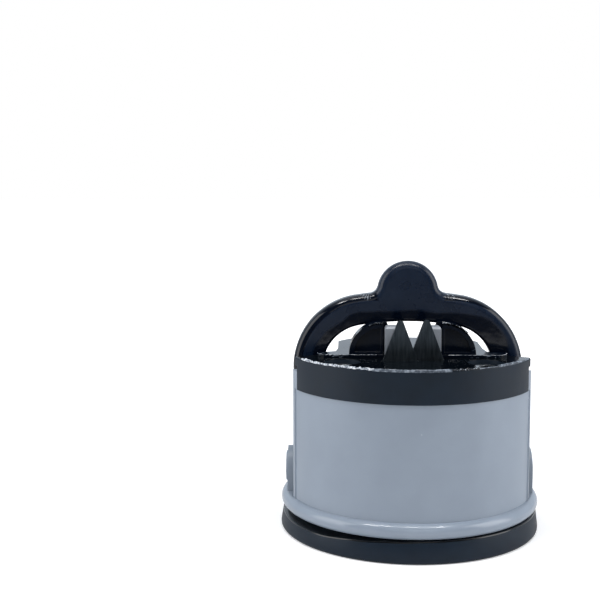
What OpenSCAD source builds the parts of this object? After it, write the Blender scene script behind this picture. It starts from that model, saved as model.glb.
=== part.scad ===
// Knife sharpener on a suction foot. A carbide blade pair stands in a V between two guards on top of a round
// housing, and a looped lever turns a cam inside that lifts the middle of the rubber foot, so that it
// grips the worktop.
// Millimetres. X runs to the right, Y to the back and Z up, from the middle of the foot's underside.
// The lever stands upright at rest and folds back about the axle.

/* [Suction foot] */
// Outer radius of the rubber foot
foot_r = 31; // [30.6:0.1:33]
// Height of the rubber foot
foot_h = 5.3; // [4.8:0.1:6]
// How far the stiff disc in the middle of the foot stands out past the springs on it
disc_out = 1.35; // [1.05:0.05:1.5]
// Height of the hollow under the middle of the foot at rest
dome = 1.1; // [0.9:0.1:1.5]

/* [Housing] */
// How far the flange's edge stays inside the foot's edge
flange_in = 0.1; // [0:0.1:0.6]
// Height of the flange, which is a full half round at its edge
flange_h = 3.6; // [3:0.1:4.2]
// How far the front shell stands in from the flange's edge
shell_in = 1.7; // [1.5:0.1:2]
// Wall of the housing
wall = 2; // [1.6:0.1:2.4]
// How far in front of the axle the front shell ends
shell_end = 9.4; // [8.8:0.1:9.8]
// How far the tower's round back stays in from the front shell's radius
tower_in = 9.6; // [8.8:0.1:10.6]
// Radius of the two side bosses that carry the axle's ends
boss_r = 4.9; // [4.6:0.1:5.6]
// How far the side bosses stand out past the shell
boss_out = 0.1; // [0:0.1:0.5]

/* [Front cover] */
// Height of the cover's top face above the worktop
cover_z = 42.8; // [41:0.1:46]
// How far the cover's skirt stands out past the shell
skirt_out = 0.2; // [0:0.1:0.4]
// Height of the cover's skirt, top face included
skirt_h = 7.6; // [6:0.1:9]
// Thickness of the cover's top
cover_t = 2; // [1.6:0.1:2.4]
// Distance of the cover screws in from the cover's edge
screw_in = 5.1; // [4.9:0.1:5.6]
// Angle from the axle's line forward to the cover screws
screw_turn = 48.7; // [46:0.1:52]
// Head diameter of the cover screws
screw_head_d = 7.1; // [6:0.1:7.4]

/* [Guide] */
// How far the guide stands proud of the cover
ledge_h = 0.6; // [0.4:0.1:1]
// How far the ends of the guide's front ledge stay in from the cover's edge
ledge_in = 7.4; // [7:0.1:7.8]
// How far the guide's round back stands out past the tower
deck_out = 0.4; // [0.3:0.1:1]
// Radius of the two quarter round guards
guard_r = 7.3; // [6.9:0.1:7.4]
// Thickness of the guards from front to back
guard_t = 4.8; // [3.6:0.1:5]
// Width of the channel that the knife's edge runs over
channel_w = 5.7; // [4.6:0.1:6.2]
// Depth of the channel
channel_d = 0.7; // [0.4:0.1:1]

/* [Blades] */
// Thickness of each carbide blade
blade_t = 1.4; // [1:0.1:1.6]
// Height of the blade tips above the cover
tip_h = 9.1; // [8:0.1:10]
// Distance of each blade tip from the middle
tip_x = 3; // [2.6:0.1:3.4]
// Half of the angle of a blade's tip
tip_angle = 20.5; // [18:0.5:23]
// Half width of the blade holder above the cover
holder_half = 6.4; // [6:0.1:6.5]
// Height of the blade holder above the cover
holder_h = 7.4; // [6.4:0.1:7.8]
// Thickness of the blade holder from front to back
holder_t = 3.4; // [3:0.1:3.8]

/* [Lever] */
// How far the band stays inside the inner faces of the bosses
band_in = 0.6; // [0.5:0.1:1]
// Width of the lever's band
band_w = 7; // [6.4:0.1:7.4]
// Thickness of the lever from front to back
lever_t = 4.4; // [4:0.1:4.8]
// Outer radius of the loop's two corners
loop_r = 17.4; // [16:0.1:18]
// How far the middles of the loop's corners lie under the deck
loop_low = 4.2; // [3.6:0.1:4.4]
// How far the loop's top rises in the middle
crown_rise = 0.8; // [0.6:0.1:1.2]
// Radius of the fillet along the front of the lever's outer edge
lever_round = 1.9; // [1.4:0.1:2]
// Radius of the thumb tab
tab_r = 7.15; // [6:0.05:8]
// Radius of the fillets where the tab meets the loop
tab_fillet = 2.2; // [1.6:0.1:2.6]
// Thickness of the tab at its top
tab_t = 2.4; // [2.2:0.1:3]
// How far the lever sits to the left in its play between the bosses
lever_shift = 0.8; // [0:0.1:0.9]

/* [Cam drive] */
// Diameter of the axle
axle_d = 5; // [4:0.1:5]
// Smallest radius of the cam
cam_r = 4; // [3.8:0.1:4.2]
// How far the cam lifts the foot's middle
cam_lift = 3; // [2:0.1:3]
// Width of the cam
cam_w = 7; // [5:0.1:8]
// Angle that the lever turns back to lock
lock_angle = 98; // [90:1:98]

/* [Hidden] */
$fn = 96;
over = 0.4;
fit = 0.05;
gap = 0.3;
key_gap = 0.02;
sketch_n = 40;

// Radii that follow from the foot, outwards in
flange_r = foot_r - flange_in;
shell_r = flange_r - shell_in;
cover_r = shell_r + skirt_out;
rim_t = 1.4;
seat_r = cover_r - rim_t;
boss_x = shell_r + boss_out;
boss_t = 1.7;
boss_in = boss_x - boss_t;
lever_half = boss_in - band_in;
leg_clear = 2.2;
tower_half = lever_half - band_w - lever_shift - leg_clear;
tower_r = shell_r - tower_in;
deck_r = tower_r + deck_out;

// Heights that follow from the sizes above
flange_z = foot_h;
flange_top = flange_z + flange_h;
skin_t = flange_h / 2;
skin_z = flange_top - skin_t;
skirt_z = cover_z - skirt_h;
plate_z = cover_z - cover_t;
deck_z = cover_z + ledge_h;
deck_t = 1.8;
deck_under = deck_z - deck_t;
corner_drop = 1.3;
corner_top = plate_z - corner_drop;
tower_rise = 0.8;
tower_top = skirt_z + tower_rise;

// Lever
lever_back = 2.2;
lever_front = lever_back + lever_t;
lever_edge = 0.3;
inner_round = 0.6;
seam_w = 0.3;
seam_y = lever_front - lever_round - lever_edge - seam_w;
core_depth = 2.2;
core_wall = 1.3;
rib_t = 1.2;
lip_drop = 10.4;
lip_z = cover_z - lip_drop;
lip_h = 1.2;
lip_out = 1;
hub_r = 4.6;
hub_side = hub_r - lever_edge;
hub_out = boss_in - gap - lever_shift;
hub_in = tower_half + gap + lever_shift;
leg_inset = 2.3;
leg_in = hub_in + leg_inset;
leg_w = hub_out - lever_edge - leg_in;
leg_lap = 2.4;
leg_top = lip_z + leg_lap;
leg_step = 0.6;
leg_wall = 1.5;
loop_c = lever_half - loop_r;
loop_cz = deck_z - loop_low;
loop_z = loop_cz + loop_r + crown_rise;
crown_r = loop_r + (pow(loop_c, 2) + pow(crown_rise, 2)) / (2 * crown_rise);
crown_z = loop_z - crown_r;
crown_turn = asin(loop_c / (crown_r - loop_r));
crown_lap = 0.2;
window_r = loop_r - band_w;
tab_z = loop_z;
tab_set = 0.6;
root_z = (pow(crown_r, 2) + pow(crown_r + tab_fillet, 2) - pow(tab_r + tab_fillet, 2)) / (2 * crown_r);
root_x = sqrt(pow(crown_r + tab_fillet, 2) - pow(root_z, 2));
root_share = crown_r / (crown_r + tab_fillet);
inner_share = 0.6;
root_lap = 0.2;

// Guide
guide_wall = 1.6;
guide_out = 0.2;
guide_half = tower_half + guide_out;
waist_out = 0.5;
waist_half = guide_half + waist_out;
ledge_half = cover_r - ledge_in;
guard_gap = 0.4;
guard_back = lever_front + guard_gap;
guard_front = guard_back + guard_t;
guard_in = holder_half + gap + fit;
guard_rim = 1.2;
guard_recess = 0.5;
ledge_out = 0.4;
ledge_front = guard_front + ledge_out;
ledge_gap = 2;
ledge_back = lever_front + ledge_gap;
ledge_corner = 3;
ledge_lap = 1.6;
vwall_t = 1.6;
vwall_inset = 0.5;
vwall_top_half = holder_half - vwall_inset;
flare_r = 2.4;
flare_share = 1.5;
edge_round = 0.9;

// Blades and holder
tip_z = cover_z + tip_h;
tip_round = 0.8;
tip_side = tip_round * cos(tip_angle);
tip_rise = tip_round * sin(tip_angle);
blade_foot = tip_side + (tip_z - tip_round + tip_rise - cover_z) * tan(tip_angle);
blade_out = tip_x + blade_foot;
root_in = 3.2;
root_h = 7.5;
foot_z = plate_z - root_h;
holder_out_y = 2;
holder_front = ledge_front + holder_out_y;
holder_back = holder_front - holder_t;
right_front = holder_front + blade_t;
left_front = right_front + blade_t;
holder_z = cover_z + holder_h;
groove_half = 3.7;
groove_rise = 0.4;
groove_z = cover_z + groove_rise;
holder_shoulder = 1.3;
holder_out = holder_half + holder_shoulder;
holder_round = 0.7;
cheek_t = 1.6;
clamp_rise = 3.6;
clamp_z = foot_z + clamp_rise;
clamp_d = 2.5;
clamp_head_d = 4.6;
clamp_head_h = 1.5;
nut_w = 4.6;
nut_t = 1.5;

// Cam, yoke and disc, from the worktop up
membrane_t = 1.5;
disc_under = dome + membrane_t;
disc_t = 1.6;
disc_z = disc_under + disc_t;
yoke_bar = 2.5;
cam_top = cam_r + cam_lift;
axle_z = disc_z + yoke_bar + gap + cam_top;
cam_slope = cam_lift / (lock_angle * PI / 180);
cam_step = 5;
cam_end = lock_angle + cam_step;
cam_inset = 0.6;
cam_core = cam_r - cam_inset;
cam_close = 165;
yoke_wall = 2.4;
yoke_bridge = 3;
yoke_side = 0.5;
yoke_t = cam_w + 2 * yoke_side;
yoke_clear = 0.9;
yoke_in = cam_top + yoke_clear;
yoke_top = axle_z + cam_r + gap + yoke_bridge;
yoke_screw_y = 4.8;
yoke_screw_l = 3.7;
small_d = 2.2;
small_head_d = 4;
small_head_h = 1.1;

// Axle and its bearings
axle_r = axle_d / 2;
axle_short = 1;
axle_half = boss_x - axle_short;
flat_depth = 0.6;
cap_r = 3.6;
cap_t = 0.4;
cap_lap = 0.1;
blind_t = 0.6;
block_half = 4.2;
block_under = 3.8;
block_top = 4.4;
block_in = yoke_t / 2 + gap;

// Springs between the bearing blocks and the disc
spring_x = (block_in + tower_half - wall) / 2;
spring_r = 2;
wire_r = 0.3;
spring_turns = 3;
spring_z = disc_z;
spring_top = axle_z - block_under;
disc_r = spring_x + spring_r + disc_out;
ring_step = 30;
wire_sides = 6;

// Rubber foot and the plate that clamps it
neck_in = 5.3;
neck_out = flange_r - neck_in;
foot_neck = 1;
rim_in = neck_out - foot_neck;
foot_round = 0.9;
foot_draft = 0.5;
collar_t = 1.2;
collar_lip = 0.5;
collar_h = 0.6;
slope_w = 2.6;
slope_out = rim_in - slope_w;
slope_in = (disc_r + collar_t + slope_out) / 2;
lip_w = 1.4;
lip_t = 0.9;
lip_in = neck_out - foot_neck - lip_w;
hole_clear = 0.4;
plate_hole_r = disc_r + collar_t + hole_clear;

// Screws, and the posts that they hold in
screw_d = 2.9;
screw_l = 9;
screw_head_h = 1.5;
head_drop = 0.4;
head_ring = 0.55;
screw_x = (cover_r - screw_in) * cos(screw_turn);
screw_y = (cover_r - screw_in) * sin(screw_turn);
post_r = 3.2;
cross_w = 0.9;
cross_l = 3.9;
cross_d = 0.9;
cross_turn = 12;
base_in = 2.6;
base_turn = 49;
base_screw_x = (lip_in - base_in) * cos(base_turn);
base_screw_y = (lip_in - base_in) * sin(base_turn);
base_screw_l = 6;
base_post_r = 2.5;
base_post_h = 8;
rear_in = 2.1;
rear_post_y = tower_r - rear_in;
rear_post_r = 2;
guide_screw_in = 7;
guide_post_r = 2.6;
guide_post_in = 0.8;
guide_screw_x = tower_half - guide_screw_in;
guide_screw_y = sqrt(pow(tower_r - wall - guide_post_r - guide_post_in, 2) - pow(guide_screw_x, 2));
guide_screw_l = 8;
shelf_t = 2;
shelf_drop = 5.2;
shelf_z = tower_top - shelf_drop;
edge_r = 0.45;

// A rectangle from the first corner to the second, with a radius of its own at each corner
module rounded(x0, y0, x1, y1, r_a, r_b, r_c, r_d) {
  polygon([[x0 + r_a, y0], [x1 - r_b, y0], [x1, y0 + r_b], [x1, y1 - r_c],
           [x1 - r_c, y1], [x0 + r_d, y1], [x0, y1 - r_d], [x0, y0 + r_a]]);
  translate([x0 + r_a, y0 + r_a]) circle(r = r_a, $fn = sketch_n);
  translate([x1 - r_b, y0 + r_b]) circle(r = r_b, $fn = sketch_n);
  translate([x1 - r_c, y1 - r_c]) circle(r = r_c, $fn = sketch_n);
  translate([x0 + r_d, y1 - r_d]) circle(r = r_d, $fn = sketch_n);
}

// A flat slab between two heights
module slab(z0, z1) {
  translate([0, 0, z0]) linear_extrude(z1 - z0) children();
}

// A round bar along X between two places
module bar_x(x0, x1, r) {
  translate([x0, 0, 0]) rotate([0, 90, 0]) cylinder(h = x1 - x0, r = r);
}

// A plate seen from the front, between two distances in front of the axle
module facing(y0, y1) {
  translate([0, -y0, 0]) rotate([90, 0, 0]) linear_extrude(y1 - y0) children();
}

// Everything in front of a line across the part, as a flat shape
module ahead(y) {
  translate([-2 * foot_r, -y - 2 * foot_r]) square([4 * foot_r, 2 * foot_r]);
}

// Both sides of the middle plane
module both() {
  children();
  mirror([1, 0, 0]) children();
}

// A countersunk screw with its head's face at zero and its shank below
module flat_screw(l) {
  rotate_extrude() polygon([[0, 0], [small_head_d / 2, 0], [small_d / 2, -small_head_h],
                            [small_d / 2, -l + small_d / 2], [0, -l]]);
}

// The hole that a countersunk screw sits in
module flat_screw_hole(l) {
  rotate_extrude() polygon([[0, over], [small_head_d / 2, over], [small_head_d / 2, 0],
                            [small_d / 2, -small_head_h], [small_d / 2, -l - over], [0, -l - over]]);
}

// Places of the screws that come up through the base plate
module at_base_screws(z) {
  both() translate([base_screw_x, -base_screw_y, z]) mirror([0, 0, 1]) children();
  translate([0, rear_post_y, z]) mirror([0, 0, 1]) children();
}

// A cross recess cut into a screw head
module cross_recess() {
  for (turn = [0, 90]) rotate([0, 0, turn]) translate([-cross_l / 2, -cross_w / 2, -cross_d])
    cube([cross_l, cross_w, cross_d + over]);
}

// Outline of the tower and of the guide's round back, with flat sides for the lever's legs
module round_back(r, half, y) {
  intersection() {
    circle(r = r);
    translate([-half, -y]) square([2 * half, y + r]);
  }
}

// Plan of the front shell's wall, from one radius to another
module shell_ring(r_out, r_in) {
  intersection() {
    difference() {
      circle(r = r_out);
      circle(r = r_in);
    }
    ahead(shell_end);
  }
}

// Wall that closes the shell's end beside the tower
module end_wall(reach) {
  translate([tower_half - wall, -shell_end - wall]) square([reach - tower_half + wall, wall]);
}

module housing() {
  color("#8C96A5") difference() {
    union() {
      // Flange with its round edge, and the floor of the two lever bays
      rotate_extrude() {
        translate([neck_out, flange_z]) square([flange_r - flange_h / 2 - neck_out, flange_h]);
        translate([flange_r - flange_h / 2, flange_z + flange_h / 2])
          circle(r = flange_h / 2, $fn = sketch_n);
      }
      slab(skin_z, flange_top) difference() {
        circle(r = shell_r);
        round_back(tower_r - wall, tower_half - wall, tower_r);
      }
      // Front shell, stepped back under the cover's skirt, with its full wall beside the skirt's ends
      slab(flange_top - over, skirt_z) shell_ring(shell_r, shell_r - wall);
      slab(skirt_z - over, plate_z) shell_ring(seat_r - fit, shell_r - wall);
      slab(skirt_z - over, corner_top) difference() {
        shell_ring(shell_r, shell_r - wall);
        ahead(ledge_front + gap);
      }
      // Walls that close the shell's ends
      both() slab(flange_top - over, skirt_z) end_wall(shell_r - wall);
      both() slab(skirt_z - over, plate_z) end_wall(ledge_half);
      // Tower round the cam
      slab(flange_top - over, tower_top) difference() {
        round_back(tower_r, tower_half, shell_end + wall);
        round_back(tower_r - wall, tower_half - wall, tower_r);
      }
      // Side bosses and bearing blocks for the axle
      both() translate([boss_in, 0, axle_z]) boss_wall();
      both() translate([block_in, -block_half, axle_z - block_under])
        cube([tower_half - wall / 2 - block_in, 2 * block_half, block_under + block_top]);
      // Posts for the cover, the base plate and the guide
      both() translate([screw_x, -screw_y, skin_z]) cylinder(h = plate_z - skin_z, r = post_r);
      both() translate([base_screw_x, -base_screw_y, skin_z]) cylinder(h = base_post_h, r = base_post_r);
      translate([0, rear_post_y, skin_z]) cylinder(h = base_post_h, r = rear_post_r);
      both() slab(shelf_z, shelf_z + shelf_t) intersection() {
        round_back(tower_r - wall / 2, tower_half - wall / 2, 0);
        translate([guide_screw_x - guide_post_r, guide_screw_y - guide_post_r])
          square([tower_half, 2 * guide_post_r]);
      }
    }
    // Bore of the axle, open on the left
    translate([0, 0, axle_z]) bar_x(-boss_x - over, boss_x - blind_t, axle_r + fit);
    // Holes for the screws
    both() translate([screw_x, -screw_y, plate_z - screw_l]) cylinder(h = screw_l + over, r = screw_d / 2);
    at_base_screws(skin_z) cylinder(h = 2 * base_screw_l, r = small_d / 2, center = true);
    both() translate([guide_screw_x, guide_screw_y, shelf_z]) mirror([0, 0, 1])
      flat_screw_hole(guide_screw_l);
  }
}

// An upright wall with a round top about the axle, standing on the flange
module boss_wall() {
  bar_x(0, boss_t, boss_r);
  translate([0, -boss_r, flange_top - axle_z - over]) cube([boss_t, 2 * boss_r, axle_z - flange_top + over]);
}

module base_plate() {
  color("#7D8794") difference() {
    union() {
      slab(flange_z, skin_z) difference() {
        circle(r = lip_in - fit);
        circle(r = plate_hole_r);
      }
      slab(flange_z, skin_z - lip_t) difference() {
        circle(r = neck_out - foot_neck - fit);
        circle(r = lip_in - over);
      }
    }
    at_base_screws(flange_z) flat_screw_hole(base_screw_l);
  }
}

module base_screws() {
  color("#B9BCC0") at_base_screws(flange_z) flat_screw(base_screw_l);
}

// Outline of the cover seen from above: a round front, pointed ends and a slanting back beside the lever
module cover_outline(r) {
  difference() {
    intersection() {
      circle(r = r);
      union() {
        ahead(ledge_front + gap);
        polygon([[-cover_r, -ledge_front - gap], [-ledge_half - gap, -ledge_back - gap],
                 [ledge_half + gap, -ledge_back - gap], [cover_r, -ledge_front - gap]]);
      }
    }
    translate([-ledge_half + ledge_lap, -ledge_front + ledge_lap])
      square([2 * (ledge_half - ledge_lap), ledge_front]);
  }
}

// The opening that the blades and their holder stand in
module blade_window(clear) {
  translate([-blade_out - clear, -left_front - clear])
    square([2 * (blade_out + clear), left_front - holder_front + clear]);
  translate([-holder_half - clear, -holder_front - clear])
    square([2 * (holder_half + clear), holder_t + 2 * clear]);
}

module front_cover() {
  color("#15181F") difference() {
    intersection() {
      union() {
        slab(plate_z, cover_z) cover_outline(cover_r);
        slab(skirt_z, cover_z) intersection() {
          difference() {
            circle(r = cover_r);
            circle(r = seat_r);
          }
          ahead(ledge_front + gap);
        }
      }
      // Rounded top edge all round the front
      rotate_extrude() union() {
        translate([0, skirt_z - over]) square([cover_r, skirt_h + over - edge_r]);
        square([cover_r - edge_r, cover_z]);
        translate([cover_r - edge_r, cover_z - edge_r]) circle(r = edge_r, $fn = sketch_n);
      }
    }
    slab(plate_z - over, cover_z + over) blade_window(gap / 2);
    both() translate([screw_x, -screw_y, cover_z - head_drop - screw_head_h])
      cylinder(h = cover_t + over, r = screw_head_d / 2 + head_ring);
    both() translate([screw_x, -screw_y, plate_z - over]) cylinder(h = cover_t, r = screw_d / 2 + fit);
  }
}

module cover_screws() {
  color("#D5D8DA") for (side = [-1, 1])
    translate([side * screw_x, -screw_y, cover_z - head_drop]) difference() {
    rotate_extrude() polygon([[0, 0], [screw_head_d / 2 - head_drop, 0], [screw_head_d / 2, -head_drop],
                              [screw_head_d / 2, -screw_head_h], [screw_d / 2, -screw_head_h],
                              [screw_d / 2, -screw_l], [0, -screw_l - screw_d / 2]]);
    rotate([0, 0, side * cross_turn]) cross_recess();
  }
}

// The knife's channel in the deck, flared where it meets the round back
module channel() {
  translate([-channel_w / 2, -guard_back - over]) square([channel_w, deck_r + guard_back + 2 * over]);
  difference() {
    translate([-channel_w / 2 - flare_r, deck_r - flare_share * flare_r])
      square([channel_w + 2 * flare_r, 2 * flare_r]);
    both() translate([channel_w / 2 + flare_r, deck_r - flare_share * flare_r])
      circle(r = flare_r, $fn = sketch_n);
  }
}

// A quarter round guard with a raised rim round its front face
module guard() {
  difference() {
    facing(guard_back, guard_front) intersection() {
      translate([guard_r, 0]) circle(r = guard_r);
      translate([guard_in, 0]) square([2 * guard_r, guard_r]);
    }
    facing(guard_front - guard_recess, guard_front + over) intersection() {
      translate([guard_r, 0]) circle(r = guard_r - guard_rim);
      translate([guard_in + guard_rim / 2, guard_rim / 2]) square([2 * guard_r, guard_r]);
    }
  }
}

module guide() {
  color("#101319") difference() {
    union() {
      // Deck: a round back with flat sides, widening to the front ledge
      slab(deck_under, deck_z) {
        round_back(deck_r, guide_half, lever_front);
        polygon([[-ledge_half, -ledge_back], [-waist_half, -lever_front - gap], [-guide_half, -lever_back],
                 [guide_half, -lever_back], [waist_half, -lever_front - gap], [ledge_half, -ledge_back]]);
        intersection() {
          rounded(-ledge_half, -ledge_front, ledge_half, 0, ledge_corner, ledge_corner, over, over);
          translate([-ledge_half, -ledge_front]) square([2 * ledge_half, ledge_front - ledge_back + over]);
        }
      }
      // Skirt under the round back
      slab(tower_top, deck_under) difference() {
        round_back(deck_r, guide_half, shell_end - fit);
        round_back(deck_r - guide_wall, guide_half - guide_wall, deck_r);
      }
      // Guards and the notched wall between them
      both() translate([0, 0, deck_z]) guard();
      translate([0, 0, deck_z]) facing(guard_back, guard_back + vwall_t)
        polygon([[-guard_in - over, 0], [-guard_in - over, guard_r], [-vwall_top_half, guard_r],
                 [-channel_w / 2, 0]]);
      translate([0, 0, deck_z]) facing(guard_back, guard_back + vwall_t)
        polygon([[guard_in + over, 0], [guard_in + over, guard_r], [vwall_top_half, guard_r],
                 [channel_w / 2, 0]]);
      // Pocket that the blade holder stands in
      slab(foot_z - cheek_t, deck_under) difference() {
        translate([-holder_out - cheek_t, -left_front])
          square([2 * (holder_out + cheek_t), left_front - holder_back + cheek_t]);
        translate([-holder_out - fit, -left_front - over])
          square([2 * (holder_out + fit), left_front - holder_back + over]);
      }
      slab(foot_z - cheek_t, foot_z) translate([-holder_out - cheek_t, -left_front])
        square([2 * (holder_out + cheek_t), left_front - holder_back + cheek_t]);
      // Posts for the screws from below
      both() translate([guide_screw_x, guide_screw_y, shelf_z + shelf_t])
        cylinder(h = deck_under - shelf_z - shelf_t, r = guide_post_r);
    }
    // Room for the cover under the ledge
    slab(plate_z, cover_z) ahead(ledge_front - ledge_lap);
    slab(deck_under - over, cover_z) both() translate([ledge_half - ledge_lap, -foot_r])
      square([foot_r, foot_r - ledge_back + gap / 2]);
    // The holder's place, and the knife channel
    slab(deck_under - over, deck_z + over) translate([-holder_half - gap / 2, -left_front])
      square([2 * holder_half + gap, left_front - holder_back + gap / 2]);
    slab(deck_z - channel_d, deck_z + over) channel();
    both() translate([guide_screw_x, guide_screw_y, shelf_z + shelf_t - over])
      cylinder(h = guide_screw_l - shelf_t, r = small_d / 2);
    // Rounded back edge of the deck
    rotate_extrude(angle = 180) difference() {
      translate([deck_r - edge_round, deck_z - edge_round]) square(edge_round + over);
      translate([deck_r - edge_round, deck_z - edge_round]) circle(r = edge_round, $fn = sketch_n);
    }
  }
}

module guide_screws() {
  color("#B9BCC0") both() translate([guide_screw_x, guide_screw_y, shelf_z]) mirror([0, 0, 1])
    flat_screw(guide_screw_l - 2 * over);
}

// The right blade seen from the front: a rounded tip above the cover and a square root below it
module blade_outline() {
  translate([tip_x, tip_z - tip_round]) circle(r = tip_round, $fn = sketch_n);
  polygon([[tip_x - tip_side, tip_z - tip_round + tip_rise], [tip_x - blade_foot, cover_z],
           [-root_in, plate_z - fit], [-root_in, foot_z], [holder_half, foot_z], [holder_half, plate_z - fit],
           [blade_out, cover_z], [tip_x + tip_side, tip_z - tip_round + tip_rise]]);
}

module blade(front) {
  difference() {
    facing(front - blade_t, front) blade_outline();
    translate([0, 0, clamp_z]) facing(0, left_front + over) circle(r = clamp_d / 2 + fit);
  }
}

module left_blade() {
  color("#3A3D40") mirror([1, 0, 0]) blade(left_front);
}

module right_blade() {
  color("#3A3D40") blade(right_front);
}

module blade_holder() {
  color("#AEB4BD") difference() {
    union() {
      facing(holder_back, holder_front) rounded(-holder_half, foot_z, holder_half, holder_z, fit, fit,
                                                holder_round, holder_round);
      facing(holder_back, holder_front) translate([-holder_out, foot_z])
        square([2 * holder_out, plate_z - foot_z]);
    }
    // The notch that the knife passes through
    facing(holder_back - over, holder_front + over)
      polygon([[0, groove_z], [groove_half, holder_z], [groove_half, holder_z + over],
               [-groove_half, holder_z + over], [-groove_half, holder_z]]);
    // Bevel along the front of the two tops
    translate([0, -holder_front, holder_z]) rotate([45, 0, 0])
      cube([2 * (holder_half + over), holder_round, holder_round], center = true);
    // Clamp screw and nut
    translate([0, 0, clamp_z]) facing(0, left_front) circle(r = clamp_d / 2 + fit);
    translate([0, 0, clamp_z]) facing(holder_back - over, holder_back + nut_t)
      square(nut_w + 2 * fit, center = true);
  }
}

module clamp_screw() {
  color("#B9BCC0") translate([0, 0, clamp_z]) difference() {
    union() {
      facing(left_front, left_front + clamp_head_h) circle(r = clamp_head_d / 2);
      facing(holder_back, left_front + over) circle(r = clamp_d / 2);
    }
    translate([0, -left_front - clamp_head_h, 0]) rotate([90, 0, 0]) cross_recess();
  }
}

module clamp_nut() {
  color("#B9BCC0") translate([0, 0, clamp_z]) facing(holder_back, holder_back + nut_t) difference() {
    square(nut_w, center = true);
    circle(r = clamp_d / 2);
  }
}

// Section of the lever's band: outwards from the window's edge, and forward from the axle
module band_section(x0, inset = 0) {
  x1 = x0 + band_w - inset;
  front = lever_front - inset;
  difference() {
    rounded(x0 + inset, lever_back + inset, x1, front, lever_edge, lever_edge, lever_round, inner_round);
    translate([x0 + core_wall + inset, lever_back - over])
      square([band_w - 2 * (core_wall + inset), core_depth + over - inset]);
    translate([x1 - seam_w, seam_y + inset]) square([seam_w + over, seam_w - 2 * inset]);
  }
}

// The part of that section that the stiffening ribs fill
module rib_section(x0) {
  translate([x0 + core_wall / 2, lever_back + lever_edge])
    square([band_w - core_wall, core_depth]);
}

// A rib across the band at an angle of the corner
module band_rib(turn) {
  rotate([0, -turn, 0]) translate([0, 0, -rib_t / 2]) mirror([0, 1, 0]) linear_extrude(rib_t)
    rib_section(window_r);
}

module lever_side() {
  // Round corner and the straight end below it
  translate([loop_c, 0, loop_cz]) {
    rotate([90, 0, 0]) rotate_extrude(angle = 90 - crown_turn) band_section(window_r);
    translate([0, 0, lip_z - loop_cz]) mirror([0, 1, 0]) linear_extrude(loop_cz - lip_z + gap)
      band_section(window_r, key_gap);
    for (share = [0, 1 / 3, 2 / 3, 1]) band_rib(share * (90 - crown_turn));
  }
  // Lip at the band's outer end
  translate([lever_half - 2 * key_gap - lip_out, -lever_front + lever_round, lip_z - lip_h])
    cube([lip_out, lever_t - lever_round - 2 * lever_edge, lip_h + over]);
  // Leg down to the hub, narrower than the band
  difference() {
    translate([leg_in, 0, 0]) rotate([90, 0, 90]) linear_extrude(leg_w)
      polygon([[-lever_front + leg_step, leg_top], [-lever_front + leg_step, lip_z - hub_r],
               [-hub_side, axle_z], [hub_side, axle_z], [-lever_back - leg_step, lip_z],
               [-lever_back - leg_step, leg_top]]);
    translate([leg_in + leg_wall, 0, 0]) rotate([90, 0, 90]) linear_extrude(leg_w - 2 * leg_wall)
      polygon([[-lever_front / 2, leg_top + over], [-lever_front / 2, lip_z - hub_r],
               [0, axle_z + hub_r + leg_wall], [hub_r + over, axle_z + hub_r + leg_wall],
               [hub_r + over, leg_top + over]]);
  }
  // Hub
  translate([0, 0, axle_z]) bar_x(hub_in, hub_out, hub_r);
}

// Section of the axle where it carries the lever or the cam, with a flat on its underside
module keyed(r) {
  intersection() {
    circle(r = r);
    translate([-r, -r]) square([2 * r, 2 * r - flat_depth]);
  }
}

// A keyed bar along X
module keyed_bar(x0, x1, r) {
  translate([x0, 0, 0]) rotate([90, 0, 90]) linear_extrude(x1 - x0) mirror([0, 1]) keyed(r);
}

// Plan of the tab's root, down to a height inside the loop's band
module root_plan(low) {
  middle_z = crown_z + root_z;
  end_x = root_share * root_x - root_lap;
  inner_x = inner_share * root_x;
  inner_z = tab_z + inner_share * (middle_z - tab_z) - root_lap;
  polygon([[-end_x, low], [end_x, low], [end_x, loop_z], [root_x, middle_z], [inner_x, inner_z],
           [-inner_x, inner_z], [-root_x, middle_z], [-end_x, loop_z]]);
}

// Cutter for one root fillet, with the same rounded front edge as the band and the tab
module root_cutter() {
  translate([root_x, 0, crown_z + root_z]) rotate([90, 0, 0]) rotate_extrude() union() {
    translate([0, lever_back]) square([tab_fillet, lever_t + over]);
    difference() {
      translate([0, lever_front - lever_round]) square([tab_fillet + lever_round, lever_round + over]);
      translate([tab_fillet + lever_round, lever_front - key_gap - lever_round])
        circle(r = lever_round, $fn = sketch_n);
    }
  }
}

// Thumb tab, flush with the loop's front, that spreads into the loop's edge and thins towards its top
module thumb_tab() {
  back = lever_back + tab_set;
  front = lever_front - key_gap;
  reach = tab_r - key_gap;
  lean = lever_t - tab_set - tab_t;
  difference() {
    union() {
      translate([0, 0, tab_z]) rotate([90, 0, 0]) rotate_extrude(angle = 180) union() {
        polygon([[0, back], [reach, back], [reach, front - lever_round], [reach - lever_round, front],
                 [0, front]]);
        translate([reach - lever_round, front - lever_round]) circle(r = lever_round, $fn = sketch_n);
      }
      difference() {
        union() {
          facing(back, front) root_plan(loop_z - crown_rise - core_wall / 2);
          facing(lever_back + core_depth, front) root_plan(loop_z - band_w / 2);
        }
        both() root_cutter();
      }
    }
    translate([-2 * tab_r, 0, 0]) rotate([90, 0, 90]) linear_extrude(4 * tab_r)
      polygon([[-back, tab_z], [over, tab_z], [over, tab_z + 2 * tab_r],
               [-back - 2 * lean, tab_z + 2 * tab_r]]);
  }
}

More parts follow.
